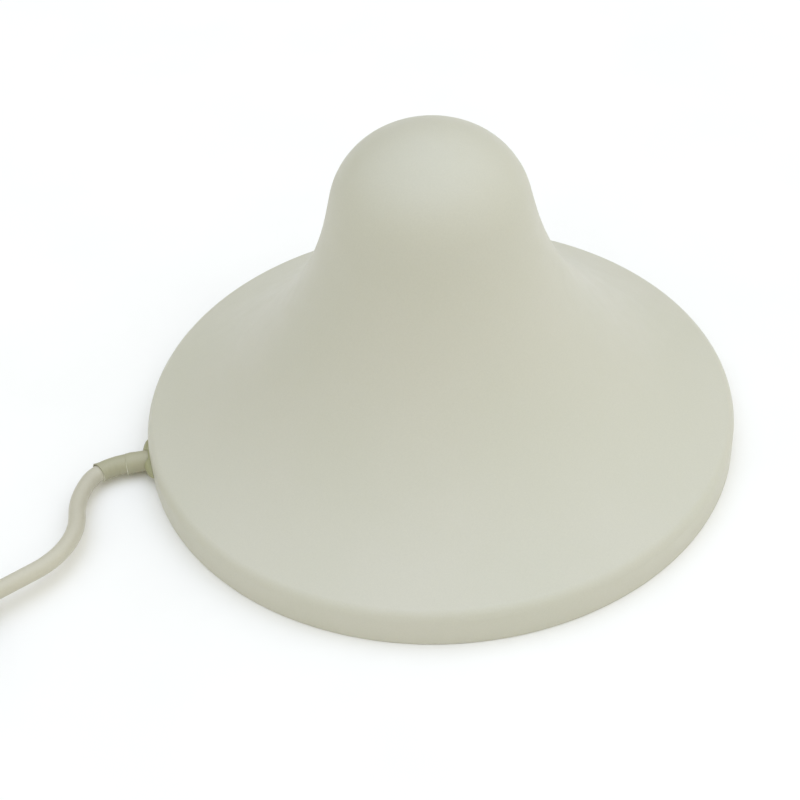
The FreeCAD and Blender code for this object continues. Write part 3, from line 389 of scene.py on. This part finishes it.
def bell(inset):
    """The dome's outline from nose to rim, set in from its outside: a list of (radius, height)."""
    lean = math.asin(CROWN_REACH / CROWN_RADIUS)
    crown_z = DOME_HEIGHT - CROWN_RADIUS
    shoulder = Vector((0, crown_z))
    shoulder += Vector((math.sin(lean), math.cos(lean))) * (CROWN_RADIUS - SHOULDER_RADIUS)
    outward = Vector((math.cos(NECK_DRAFT), math.sin(NECK_DRAFT)))
    neck_foot = shoulder + outward * SHOULDER_RADIUS
    neck_foot += Vector((math.sin(NECK_DRAFT), -math.cos(NECK_DRAFT))) * NECK_LENGTH
    flare = neck_foot + outward * FLARE_RADIUS
    rim_x = RIM_RADIUS - RIM_ROUND
    slope = math.asin((flare.x - rim_x) / (FLARE_RADIUS + RIM_ROUND))
    rim_z = flare.y - (FLARE_RADIUS + RIM_ROUND) * math.cos(slope)
    draft = math.degrees(NECK_DRAFT)
    slope = math.degrees(slope)
    crown_end = 90 - math.degrees(lean)
    points = arc_points((0, crown_z), CROWN_RADIUS - inset, 90, crown_end, 16)
    points += arc_points(shoulder, SHOULDER_RADIUS - inset, crown_end, draft, 20)
    points += arc_points(flare, FLARE_RADIUS + inset, 180 + draft, 270 - slope, 48)
    points += arc_points((rim_x, rim_z), RIM_ROUND - inset, 90 - slope, 0, 20)
    return without_repeats(points)


def dome():
    """The dome as one closed shell, with its rim's edge rounded, its notch and its screw bosses."""
    outside = bell(0)
    inside = bell(DOME_WALL)
    edge = RIM_EDGE_ROUND
    rim = arc_points((RIM_RADIUS - edge, edge), edge, 0, -90, 6)
    rim += arc_points((RIM_RADIUS - DOME_WALL + edge, edge), edge, -90, -180, 6)
    outline = without_repeats(outside + rim + inside[::-1])
    shell = lathe("dome_shell", outline, 320)
    boolean(shell, notch_prism(), "DIFFERENCE")
    for i in range(BOSS_COUNT):
        boolean(shell, boss(TAU * (i + 0.5) / BOSS_COUNT), "UNION")
    return smooth(clean(shell), 28)


def notch_prism():
    """A prism along -X that cuts the rim's notch: round above the lead's exit, straight below it."""
    top = arc_points((0, EXIT_HEIGHT), NOTCH_RADIUS, 180, 0, 24)
    outline = [(-NOTCH_RADIUS, NOTCH_FOOT)] + top + [(NOTCH_RADIUS, NOTCH_FOOT)]
    verts = [(-NOTCH_NEAR, y, z) for y, z in outline] + [(-NOTCH_FAR, y, z) for y, z in outline]
    count = len(outline)
    faces = [tuple(range(count)), tuple(range(2 * count - 1, count - 1, -1))]
    for i in range(count):
        j = (i + 1) % count
        faces.append((i, j, count + j, count + i))
    return clean(mesh_object("notch_cutter", verts, faces))


def boss(angle):
    """A screw boss with a blind pilot hole, its slanted top buried in the dome's wall."""
    wall_height = 14.9
    wall_slope = math.radians(25)
    pilot_top = 11.8
    slanted_above = wall_height - 1
    outline = [
        (0, pilot_top), (BOSS_PILOT_RADIUS, pilot_top), (BOSS_PILOT_RADIUS, BOSS_FOOT),
        (BOSS_RADIUS, BOSS_FOOT), (BOSS_RADIUS, wall_height), (0, wall_height),
    ]
    post = lathe("boss", outline, 40)
    for vertex in post.data.vertices:
        if vertex.co.z > slanted_above * MM:
            vertex.co.z -= vertex.co.x * math.tan(wall_slope)
    place = Matrix.Translation(Vector((math.cos(angle), math.sin(angle), 0)) * BOSS_RING * MM)
    post.data.transform(place @ Matrix.Rotation(angle, 4, "Z"))
    return post


dome_shell = finish_with(dome(), "dome_plastic")
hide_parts("radome")
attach(dome_shell, "antenna")


# ---- lead ----

ROUTE_STEP = 0.5
ROUTE_SPARE = 1


def lead_route():
    """The lead's centre line in millimetres as (distance, point, heading), from inside to its end.

    The distance is 0 at RIM_START and grows outwards.
    """
    plane = Matrix.Translation((0, 0, EXIT_HEIGHT)) @ Matrix.Rotation(-LEAD_TILT, 4, "X")
    turn_axis = Vector((0, 0, 1))
    place = Vector((-RIM_START, 0, 0))
    heading = Vector((-1, 0, 0))
    distance = 0
    route = []
    stretches = [(FIRST_BEND_START - RIM_START, 0)]
    stretches += [(radius * math.radians(abs(angle)), angle) for radius, angle in BENDS]
    stretches += [(LAST_STRAIGHT + JACK_LENGTH + ROUTE_SPARE, 0)]
    for length, angle in stretches:
        steps = max(2, round(length / ROUTE_STEP))
        for _ in range(steps):
            route.append((distance, plane @ place, plane.to_3x3() @ heading))
            half = Matrix.Rotation(math.radians(angle) / steps / 2, 3, turn_axis)
            heading = half @ heading
            place = place + heading * (length / steps)
            heading = half @ heading
            distance += length / steps
    route.append((distance, plane @ place, plane.to_3x3() @ heading))
    return inside_route() + route


def inside_route():
    """The same for the stretch inside the dome, with distances below 0: level, then an S bend down."""
    run = RIM_START - DISH_EDGE
    rise = DISH_HEIGHT - EXIT_HEIGHT
    radius = (run ** 2 + rise ** 2) / (4 * rise)
    bend = math.asin(run / 2 / radius)
    low = Vector((-RIM_START, 0, EXIT_HEIGHT + radius))
    high = Vector((-DISH_EDGE, 0, DISH_HEIGHT - radius))
    steps = 24
    route = []
    for i in range(1, steps + 1):
        angle = bend * i / steps
        point = low + Vector((math.sin(angle), 0, -math.cos(angle))) * radius
        route.append((-radius * angle, point, Vector((-math.cos(angle), 0, -math.sin(angle)))))
    for i in range(1, steps + 1):
        angle = bend * (1 - i / steps)
        point = high + Vector((-math.sin(angle), 0, math.cos(angle))) * radius
        route.append((-radius * (2 * bend - angle), point, Vector((-math.cos(angle), 0, -math.sin(angle)))))
    level = DISH_EDGE - JACKET_INNER_END
    for i in range(1, steps + 1):
        point = Vector((-DISH_EDGE + level * i / steps, 0, DISH_HEIGHT))
        route.append((-2 * radius * bend - level * i / steps, point, Vector((-1, 0, 0))))
    return route[::-1]


ROUTE = lead_route()
LEAD_END = ROUTE[-1][0] - JACK_LENGTH - ROUTE_SPARE
ROUTE_UP = Matrix.Rotation(-LEAD_TILT, 3, "X") @ Vector((0, 0, 1))


def on_route(distance):
    """The lead's centre, its sideways direction and its upward direction at a distance."""
    index = next((i for i, stop in enumerate(ROUTE[1:-1]) if stop[0] > distance), len(ROUTE) - 2)
    before, after = ROUTE[index], ROUTE[index + 1]
    share = (distance - before[0]) / (after[0] - before[0])
    heading = before[2].lerp(after[2], share).normalized()
    side = ROUTE_UP.cross(heading).normalized()
    return before[1].lerp(after[1], share), side, heading.cross(side)


def swept(name, outline, segments, radius_at=None):
    """Turn a closed outline of (distance, radius) about the lead's bent centre line."""
    verts = []
    for distance, radius in outline:
        centre, side, up = on_route(distance)
        for i in range(segments):
            angle = TAU * i / segments
            reach = radius_at(distance, angle, radius) if radius_at else radius
            verts.append(centre + (side * math.cos(angle) + up * math.sin(angle)) * reach)
    return ring_mesh(name, verts, segments)


def paint_edge_highlight(obj, segments, rows):
    """Paint a highlight on rings of a swept piece, brightest on its lower front side."""
    turn = 0.5
    narrowing = 1.5
    shares = obj.data.attributes.new("painted_highlight", "FLOAT", "POINT")
    for index, item in enumerate(shares.data):
        row, column = divmod(index, segments)
        # painted highlight, strongest towards the lower front where light catches the edge
        low_front = max(0, math.cos(TAU * column / segments + turn))
        item.value = low_front ** narrowing if row in rows else 0
    return obj


def tube_outline(start, end, bore, radius, step, edge):
    """A tube's outline along the lead, with rounded outer edges."""
    count = round((end - start) / step)
    along = [start + edge + (end - start - 2 * edge) * i / count for i in range(count + 1)]
    outer = arc_points((start + edge, radius - edge), edge, 180, 90, 4)[:-1]
    outer += [(distance, radius) for distance in along]
    outer += arc_points((end - edge, radius - edge), edge, 90, 0, 4)[1:]
    inner = [(start, bore)] + [(distance, bore) for distance in along] + [(end, bore)]
    return outer + inner[::-1]


def lead_jacket():
    """The outside of the lead, from the dome's inside to just within the crimp."""
    into_crimp = 1
    outline = tube_outline(
        ROUTE[0][0], LEAD_END + into_crimp, JACKET_BORE, JACKET_RADIUS, step=0.9, edge=0.15)
    return smooth(swept("lead_jacket", outline, 48))


def at_x(x):
    """Distance along the lead of a place on the straight stretch through the rim."""
    return x - RIM_START


def boot():
    """The strain relief: a moulded tube whose end swells on its lower side."""
    start = at_x(BOOT_START)
    end = at_x(BOOT_END)
    bore = JACKET_RADIUS + 0.05
    radius = 3.4
    roll = 0.35
    slimming = 0.3
    swell_length = 2.2
    swell_rise = 0.3
    swell_turn = 0.6
    top_taper = 0.28
    segments = 72
    count = 20
    first = start + 0.1
    outline = [(start, bore), (start, radius - 0.05)]
    outline += [(first + i * (end - roll - first) / count, radius) for i in range(count + 1)]
    roll_rows = range(len(outline) + 1, len(outline) + 5)
    outline += arc_points((end - roll, radius - roll), roll, 90, 0, 6)[1:]
    outline += [(end, bore + 0.2), (end - 0.4, bore)]

    def radius_at(distance, angle, radius):
        """Slimmer at the rim, swollen at the end, and tapered there to bring its top onto the sleeve."""
        if radius < bore + 0.1:
            return radius
        slimmer = slimming * (end - distance) / (end - start)
        near_end = max(0, 1 - (end - distance) / swell_length) ** 1.5
        downward = 0.5 + 0.5 * math.cos(angle + swell_turn)
        change = swell_rise * downward ** 2 - top_taper * (1 - downward)
        return radius - slimmer + near_end * change

    piece = swept("rolled_boot", outline, segments, radius_at)
    # painted highlight along the lower front of the boot's rolled end
    return smooth(paint_edge_highlight(piece, segments, roll_rows), 40)


def sleeve():
    """Heat-shrink tube round the first bend: it puckers inside the bend and gapes at its end."""
    under_boot = 0.6
    past_bend = 0.8
    start = at_x(BOOT_END) - under_boot
    bend_length = BENDS[0][0] * math.radians(BENDS[0][1])
    end = at_x(FIRST_BEND_START) + bend_length + past_bend
    bore = JACKET_RADIUS + 0.03
    wall = 0.4
    swell_start = 0.85
    swell_rise = 0.1
    pucker_depth = 0.1
    pucker_spacing = 2.6
    gape_start = 0.84
    gape_width = 0.24
    lip_length = 0.1
    lip_round = 0.12
    count = 44
    outer = []
    inner = []
    for i in range(count + 1):
        share = i / count
        distance = start + (end - start) * share
        swell = swell_rise * max(0, (share - swell_start) / (1 - swell_start)) ** 2
        outer.append((distance, bore + wall + swell))
        inner.append((distance, bore))
    lip = [(end + lip_length, outer[-1][1] - lip_round), (end + lip_length, bore + lip_round)]

    def radius_at(distance, angle, radius):
        """Puckers on the bend's inner side, and a wider gape on its outer side near the end."""
        inward = max(0, math.cos(angle))
        outward = max(0, -math.cos(angle) * 0.8 + math.sin(angle) * 0.6)
        share = (distance - start) / (end - start)
        fade = math.sin(math.pi * min(share, 1))
        pucker = pucker_depth * inward ** 2 * math.sin(TAU * (distance - start) / pucker_spacing) * fade
        near_end = max(0, (share - gape_start) / (1 - gape_start)) ** 1.5
        return radius + pucker + gape_width * outward ** 2 * near_end

    segments = 72
    lip_rows = (len(outer), len(outer) + 1)
    piece = swept("puckered_sleeve", outer + lip + inner[::-1], segments, radius_at)
    # painted highlight along the lower front of the sleeve's lip
    return smooth(paint_edge_highlight(piece, segments, lip_rows), 40)


# ---- gland ----

def gland():
    """A grommet with a low wing on each side of the boot, its neck in the notch and its flange inside."""
    bore = 3.25
    wing_reach = 2.4
    wing_half_width = 9
    wing_half_height = 2.4
    wing_height = 4.9
    wall_gap = 0.02
    floor_gap = 0.3
    neck_radius = 4.3
    neck_proud = 0.4
    edge_round = 0.3
    lip_depth = 0.3
    flange_half_width = 6
    flange_rise = 4
    flange_drop = 2
    flange_least = 3.35
    inner_face = 90.43
    flange_end = 88.83
    segments = 96
    rings = 20

    def box_edge(angle, width, rise, drop):
        """Distance from the bore's axis to a box's edge at an angle."""
        across = width / max(1e-6, abs(math.cos(angle)))
        upright = (rise if math.sin(angle) > 0 else drop) / max(1e-6, abs(math.sin(angle)))
        return min(across, upright)

    def neck(angle):
        below = box_edge(angle, neck_radius, neck_radius, EXIT_HEIGHT - floor_gap)
        return min(neck_radius, below) if math.sin(angle) > 0 else below

    def flange(angle):
        return max(flange_least, box_edge(angle, flange_half_width, flange_rise, flange_drop))

    def wings(angle):
        """Distance from the bore's axis to the edge of the wings' oval, or to the neck's if further."""
        lift = EXIT_HEIGHT - wing_height
        square = (math.cos(angle) / wing_half_width) ** 2 + (math.sin(angle) / wing_half_height) ** 2
        linear = math.sin(angle) * lift / wing_half_height ** 2
        constant = (lift / wing_half_height) ** 2 - 1
        return max(neck(angle), (math.sqrt(linear ** 2 - square * constant) - linear) / square)

    def proud(angle, radius):
        """How far the outer face stands out of the rim's wall."""
        y = radius * math.cos(angle)
        z = EXIT_HEIGHT + radius * math.sin(angle)
        level = 1 - (y / wing_half_width) ** 2 - ((z - wing_height) / wing_half_height) ** 2
        wing = wing_reach * max(0, level) ** 0.5
        ring = neck_proud * max(0, min(1, (neck(angle) - radius) / edge_round)) ** 0.5
        lip = lip_depth * math.exp(-((radius - bore) / edge_round) ** 2)
        return max(0, max(wing, ring) - lip)

    def on_wall(angle, radius, out):
        """A point that stands out from the rim's wall by a distance."""
        y = radius * math.cos(angle)
        return (-math.sqrt(RIM_RADIUS ** 2 - y ** 2) - out, y, EXIT_HEIGHT + radius * math.sin(angle))

    def at_depth(angle, radius, depth):
        return (-depth, radius * math.cos(angle), EXIT_HEIGHT + radius * math.sin(angle))

    verts = []
    angles = [TAU * i / segments for i in range(segments)]
    for ring in range(rings + 1):
        for angle in angles:
            radius = bore + (wings(angle) - bore) * ring / rings
            verts.append(on_wall(angle, radius, wall_gap + proud(angle, radius)))
    verts += [on_wall(angle, neck(angle), wall_gap) for angle in angles]
    for depth, edge in ((inner_face, neck), (inner_face, flange), (flange_end, flange)):
        verts += [at_depth(angle, edge(angle), depth) for angle in angles]
    verts += [at_depth(angle, bore, flange_end) for angle in angles]
    return smooth(ring_mesh("rim_gland", verts, segments), 40)


# ---- cable jack, measured from the lead's cut end ----

def eased(outline, amount):
    """A closed outline with each corner rounded off."""
    steps = 2
    points = []
    count = len(outline)
    for i, corner in enumerate(outline):
        corner = Vector(corner)
        before = Vector(outline[i - 1]) - corner
        after = Vector(outline[(i + 1) % count]) - corner
        first = corner + before.normalized() * min(amount, before.length / 2.5)
        last = corner + after.normalized() * min(amount, after.length / 2.5)
        for step in range(steps + 1):
            share = step / steps
            points.append(first.lerp(corner, share).lerp(corner.lerp(last, share), share))
    return points


def on_jack(outline):
    return [(LEAD_END + point[0], point[1]) for point in outline]


THREAD_START = 29
THREAD_END = 38.4
THREAD_RADIUS = 7.94
THREAD_PITCH = 25.4 / 24
THREAD_DEPTH = 0.6
THREAD_FADE = 0.9
GROOVE_END = THREAD_END + 0.3
BODY_RADIUS = 8.2
FLAT_START = 18
FLAT_END = 24
FLAT_HALF_WIDTH = 7.4
FLAT_ANGLE = math.radians(62)


def jack_shell():
    """The jack's nickel shell: crimp post, neck, a body with two flats and a threaded mouth."""
    rows_per_turn = 10
    turns = (THREAD_END - THREAD_START) / THREAD_PITCH
    rows = round(turns * rows_per_turn)
    post = [(8, 1.5), (8, 2), (9, 2.6), (14.02, 2.6)]
    body = eased([
        (14.02, 5.4), (FLAT_START, 5.4), (FLAT_START, BODY_RADIUS), (27, BODY_RADIUS), (27, 7.1),
        (THREAD_START, 7.1), (THREAD_START, THREAD_RADIUS),
    ], 0.3)
    at_flat_end = next(i for i, point in enumerate(body) if point[0] > FLAT_END)
    flat_step = [(FLAT_END - 0.02, BODY_RADIUS), (FLAT_END + 0.02, BODY_RADIUS)]
    body = body[:at_flat_end] + flat_step + body[at_flat_end:]
    thread = [
        (THREAD_START + (THREAD_END - THREAD_START) * i / rows, THREAD_RADIUS) for i in range(1, rows + 1)
    ]
    mouth = [
        (JACK_LENGTH, 7.34), (JACK_LENGTH, 5.2), (37.9, 4.1), (29, 4.1), (29, 3.52), (19, 3.52), (19, 1.5),
    ]

    def radius_at(distance, angle, radius):
        """The thread's groove, which runs out at both ends, and the body's two flats."""
        place = distance - LEAD_END
        if radius > 7.2 and place > THREAD_START:
            run_in = (place - THREAD_START) / THREAD_FADE
            run_out = (GROOVE_END - place) / THREAD_FADE
            fade = max(0, min(1, run_in, run_out))
            phase = (place / THREAD_PITCH + angle / TAU) % 1
            groove = max(0, min(1, 1.35 - 3 * abs(phase - 0.5)))
            return radius - THREAD_DEPTH * fade * groove
        if radius > 5.5 and place < FLAT_END:
            return min(radius, FLAT_HALF_WIDTH / max(0.1, abs(math.cos(angle - FLAT_ANGLE))))
        return radius

    outline = on_jack(post + body + thread + mouth)
    return smooth(swept("jack_shell", outline, 120, radius_at), 30)


def jack_sleeve():
    """Black heat-shrink over the crimp, which prints a hexagon through it."""
    outside = [(-7, 2.63), (-7, 3.1), (0.6, 3.3), (1.6, 4.3), (11.5, 4.25)]
    inside = [(11.5, 3.53), (0.98, 3.53), (0.98, 2.63)]
    crimp_start = 2.4
    crimp_end = 10
    crimp_fade = 0.8
    crimp_depth = 0.24
    wave_depth = 0.05
    outline = eased(outside + inside, 0.25)
    fine = []
    for i, point in enumerate(outline):
        following = outline[(i + 1) % len(outline)]
        steps = max(1, round((following - point).length / ROUTE_STEP))
        fine += [point.lerp(following, step / steps) for step in range(steps)]

    def radius_at(distance, angle, radius):
        """The hexagon, and slow waves where the tube has shrunk unevenly."""
        place = distance - LEAD_END
        if radius < 3.6:
            return radius
        window = max(0, min(1, (place - crimp_start) / crimp_fade, (crimp_end - place) / crimp_fade))
        waves = wave_depth * math.sin(place * 1.9) * math.cos(2 * angle + place)
        return radius - crimp_depth * window * (0.5 - 0.5 * math.cos(6 * angle)) + waves

    return smooth(swept("jack_sleeve", on_jack(fine), 96, radius_at), 40)


for piece, slot, node in (
    (jack_shell(), "nickel", "connector_shell"),
    (jack_sleeve(), "black_plastic", "connector_sleeve"),
    (lead_jacket(), "jacket_plastic", "cable_jacket"),
    (gland(), "gland_plastic", "cable_gland"),
    (boot(), "sleeve_plastic", "strain_relief_boot"),
    (sleeve(), "sleeve_plastic", "heat_shrink_sleeve"),
):
    finish_with(piece, slot)
    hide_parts(node)
    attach(piece, "antenna")


# ---- stage, light and camera ----

def floor():
    """A pale sheet, open under the dome and clear from below, so that the underside can be seen."""
    reach = 3000
    hole = RIM_RADIUS - 1
    drop = 0.05
    count = 96
    verts = []
    for i in range(count):
        angle = TAU * i / count
        for radius in (hole, reach):
            verts.append((radius * math.cos(angle), radius * math.sin(angle), 0))
    ring = [(2 * i, 2 * i + 1, (2 * i + 3) % (2 * count), (2 * i + 2) % (2 * count)) for i in range(count)]
    sheet = mesh_object("floor", verts, ring)
    sheet.location.z = min(cad_box[0].z, 0) - drop * MM
    material = Material("floor_paper")
    shade = material.span(material.noise(60, detail=4), 0.3, 0.7, 0.93, 0.96)
    material.set(Base_Color=material.mix(1.0, (1, 0.99, 0.975, 1), shade, blend="MULTIPLY"), Roughness=0.9)
    below = material.node("ShaderNodeNewGeometry").outputs["Backfacing"]
    clear = material.node("ShaderNodeBsdfTransparent").outputs[0]
    surface = material.node("ShaderNodeMixShader")
    material.feed(surface.inputs[0], below)
    material.feed(surface.inputs[1], material.shader.outputs[0])
    material.feed(surface.inputs[2], clear)
    material.feed(material.tree.nodes["Material Output"].inputs["Surface"], surface.outputs[0])
    sheet.data.materials.append(material.data)


# the directions that the light comes from, and its colour and strength from each
AMBIENT = (0.24, 0.20, 0.03)
SOFT_LIGHTS = (
    ((0, 0, 1), (1.06, 1.22, 1.66)),
    ((0, -0.82, 0.57), (0.43, 0.44, 0.42)),
    ((0.82, 0, 0.57), (0.84, 0.85, 0.87)),
    ((-0.82, 0, 0.57), (0.41, 0.42, 0.44)),
    ((0.3, -0.35, -0.89), (1.65, 1.72, 2.05)),
)
LIGHT_FOCUS = 3
BACKDROP = (1, 1, 1, 1)


def world():
    """Soft studio light from a few broad directions over a faint warm ambient, and a plain backdrop.

    The light from below reaches only the underside, through the hole in the floor.
    """
    sky = bpy.data.worlds.new("studio")
    bpy.context.scene.world = sky
    sky.use_nodes = True
    tree = sky.node_tree

    def vector_math(operation, first, second):
        item = tree.nodes.new("ShaderNodeVectorMath")
        item.operation = operation
        for socket, value in zip(item.inputs, (first, second)):
            if isinstance(value, bpy.types.NodeSocket):
                tree.links.new(value, socket)
            else:
                socket.default_value = value
        return item.outputs["Value" if operation == "DOT_PRODUCT" else "Vector"]

    place = tree.nodes.new("ShaderNodeTexCoord").outputs["Generated"]
    total = AMBIENT
    for direction, colour in SOFT_LIGHTS:
        facing = tree.nodes.new("ShaderNodeMath")
        facing.operation = "MAXIMUM"
        tree.links.new(vector_math("DOT_PRODUCT", place, direction), facing.inputs[0])
        facing.inputs[1].default_value = 0
        focused = tree.nodes.new("ShaderNodeMath")
        focused.operation = "POWER"
        tree.links.new(facing.outputs[0], focused.inputs[0])
        focused.inputs[1].default_value = LIGHT_FOCUS
        total = vector_math("ADD", total, vector_math("MULTIPLY", focused.outputs[0], colour))
    tree.links.new(total, tree.nodes["Background"].inputs["Color"])
    backdrop = tree.nodes.new("ShaderNodeBackground")
    backdrop.inputs["Color"].default_value = BACKDROP
    seen = tree.nodes.new("ShaderNodeMixShader")
    tree.links.new(tree.nodes.new("ShaderNodeLightPath").outputs["Is Camera Ray"], seen.inputs[0])
    tree.links.new(tree.nodes["Background"].outputs[0], seen.inputs[1])
    tree.links.new(backdrop.outputs[0], seen.inputs[2])
    tree.links.new(seen.outputs[0], tree.nodes["World Output"].inputs["Surface"])


def camera():
    """The photograph's view: 42 degrees above the rim, a little to the lead's side.

    Three small turns after the aim place the object in the picture as the photograph has it.
    """
    distance = 550 * MM
    azimuth = math.radians(-10.0)
    elevation = math.radians(42.2)
    back = Vector((
        math.sin(azimuth) * math.cos(elevation),
        -math.cos(azimuth) * math.cos(elevation),
        math.sin(elevation),
    ))
    facing = (-back).to_track_quat("-Z", "Y").to_matrix().to_4x4()
    yaw = Matrix.Rotation(math.radians(1.30), 4, "Y")
    pitch = Matrix.Rotation(math.radians(0.85), 4, "X")
    roll = Matrix.Rotation(math.radians(-2.39), 4, "Z")
    data = bpy.data.cameras.new("camera")
    data.sensor_width = 36
    data.lens = 76.5
    eye = bpy.data.objects.new("camera", data)
    eye.matrix_world = Matrix.Translation(back * distance) @ facing @ yaw @ pitch @ roll
    bpy.context.scene.collection.objects.link(eye)
    bpy.context.scene.camera = eye


floor()
world()
camera()
bpy.context.scene.view_settings.view_transform = "Standard"
